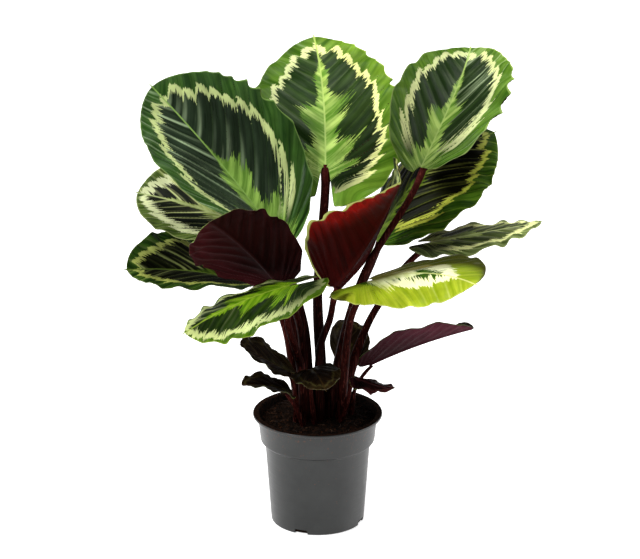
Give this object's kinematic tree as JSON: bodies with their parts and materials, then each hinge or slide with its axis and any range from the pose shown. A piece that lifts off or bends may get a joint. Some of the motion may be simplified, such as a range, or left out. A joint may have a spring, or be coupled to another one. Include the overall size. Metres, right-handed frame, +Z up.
{
  "type": "potted calathea",
  "caption": "Potted house plant: broad round patterned leaves with maroon undersides on slim stalks, rooted in soil in a tapered round nursery pot.",
  "frame": {"origin": "middle of the pot's flat base, on the surface it stands on", "axes": "+Z up along the pot's axis, -Y the front of the plant, +X to its right seen from the front"},
  "size_m": [0.3792, 0.2841, 0.4272],
  "materials": {
    "pot_plastic": "black moulded polypropylene, semi-gloss, slightly scuffed",
    "potting_soil": "moist dark peat soil with fibres and crumbs",
    "leaf_stalk": "smooth fleshy maroon plant stalk with fine ribs",
    "leaf_blade": "thin satin leaf, dark green with a pale ring and light feather above, maroon below"
  },
  "bodies": {
    "root": {"pot": "pot_plastic", "soil": "potting_soil", "stalk_upper_left": "leaf_stalk", "stalk_upper_middle": "leaf_stalk", "stalk_upper_right": "leaf_stalk", "stalk_right_rear": "leaf_stalk", "stalk_right_side": "leaf_stalk", "stalk_right_front": "leaf_stalk", "stalk_left_upright": "leaf_stalk", "stalk_centre_upright": "leaf_stalk", "stalk_left_front": "leaf_stalk", "stalk_left_rear": "leaf_stalk", "stalk_left_side": "leaf_stalk", "stalk_young_left": "leaf_stalk", "stalk_young_low_left": "leaf_stalk", "stalk_young_front": "leaf_stalk", "stalk_young_right": "leaf_stalk", "stalk_young_low_right": "leaf_stalk", "stalk_young_rear": "leaf_stalk", "blade_upper_left": "leaf_blade", "blade_upper_middle": "leaf_blade", "blade_upper_right": "leaf_blade", "blade_right_rear": "leaf_blade", "blade_right_side": "leaf_blade", "blade_right_front": "leaf_blade", "blade_left_upright": "leaf_blade", "blade_centre_upright": "leaf_blade", "blade_left_front": "leaf_blade", "blade_left_rear": "leaf_blade", "blade_left_side": "leaf_blade", "blade_young_left": "leaf_blade", "blade_young_low_left": "leaf_blade", "blade_young_front": "leaf_blade", "blade_young_right": "leaf_blade", "blade_young_low_right": "leaf_blade", "blade_young_rear": "leaf_blade"}
  },
  "joints": []
}
